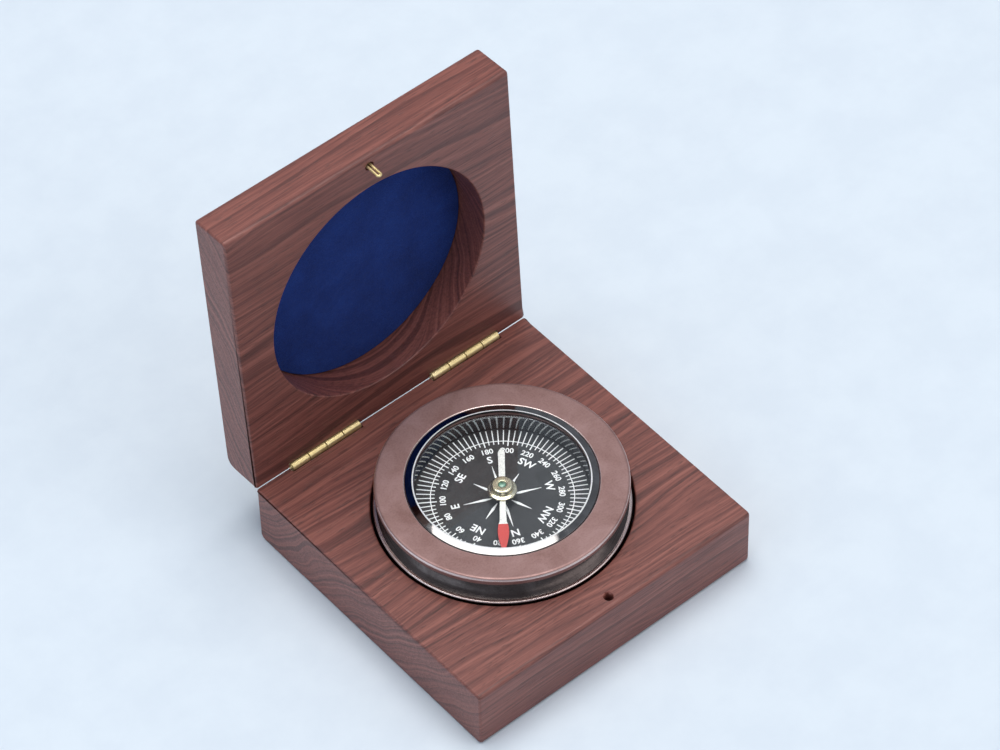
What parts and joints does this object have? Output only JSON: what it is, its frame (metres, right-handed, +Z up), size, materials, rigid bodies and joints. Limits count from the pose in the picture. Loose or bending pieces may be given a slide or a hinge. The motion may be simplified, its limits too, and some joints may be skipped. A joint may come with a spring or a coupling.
{
  "type": "boxed desk compass",
  "caption": "Magnetic desk compass, a copper-finished drum with a bevelled glass and a card dial, resting in the turned recess of a square hinged hardwood box with felt and a hairpin catch.",
  "frame": {"origin": "centre of the base block's underside", "axes": "+X along the hinge line, +Y from the front edge to the hinge side, +Z up"},
  "size_m": [0.1016, 0.1182, 0.1214],
  "materials": {
    "rosewood": "satin lacquered dark red-brown hardwood, straight grain along the hinge line",
    "navy_felt": "navy felt",
    "hinge_brass": "lightly tarnished brass",
    "antique_copper": "antique copper plating, polished, darker in the recesses",
    "gasket": "black",
    "crystal": "clear, bevelled edge",
    "dark_wall": "gloss dark inner wall",
    "dial_black": "black dial, white markings",
    "pivot_steel": "polished steel",
    "needle_paint": "white, red at the north end",
    "cap_brass": "turned bright brass",
    "jewel": "dark green stone"
  },
  "bodies": {
    "base": {"base_block": "rosewood", "base_recess_felt": "navy_felt", "left_hinge_base_leaf": "hinge_brass", "left_hinge_pin": "hinge_brass", "left_hinge_base_screw_1": "hinge_brass", "left_hinge_base_screw_2": "hinge_brass", "right_hinge_base_leaf": "hinge_brass", "right_hinge_pin": "hinge_brass", "right_hinge_base_screw_1": "hinge_brass", "right_hinge_base_screw_2": "hinge_brass"},
    "lid": {"lid_block": "rosewood", "lid_felt": "navy_felt", "catch_hairpin": "hinge_brass", "left_hinge_lid_leaf": "hinge_brass", "left_hinge_lid_screw_1": "hinge_brass", "left_hinge_lid_screw_2": "hinge_brass", "right_hinge_lid_leaf": "hinge_brass", "right_hinge_lid_screw_1": "hinge_brass", "right_hinge_lid_screw_2": "hinge_brass"},
    "compass": {"compass_body": "antique_copper", "bezel_ring": "antique_copper", "crystal_gasket": "gasket", "glass_crystal": "crystal", "spacer_ring": "dark_wall", "dial_card": "dial_black", "bottom_cover": "antique_copper", "pivot_pin": "pivot_steel"},
    "needle": {"needle_blade": "needle_paint", "needle_cap": "cap_brass", "bearing_jewel": "jewel"}
  },
  "joints": [
    {"name": "lid_hinge", "type": "hinge", "parent": "base", "child": "lid", "pos_m": [0, 0.05003, 0.0215], "axis": [1, 0, 0], "range_deg": [0, 92.6]},
    {"name": "compass_lift", "type": "slide", "parent": "base", "child": "compass", "axis": [0, 0, 1], "range_m": [0, 0.06]},
    {"name": "needle_spin", "type": "hinge", "parent": "compass", "child": "needle", "pos_m": [0, 0, 0.0256], "axis": [0, 0, 1], "continuous": true}
  ]
}
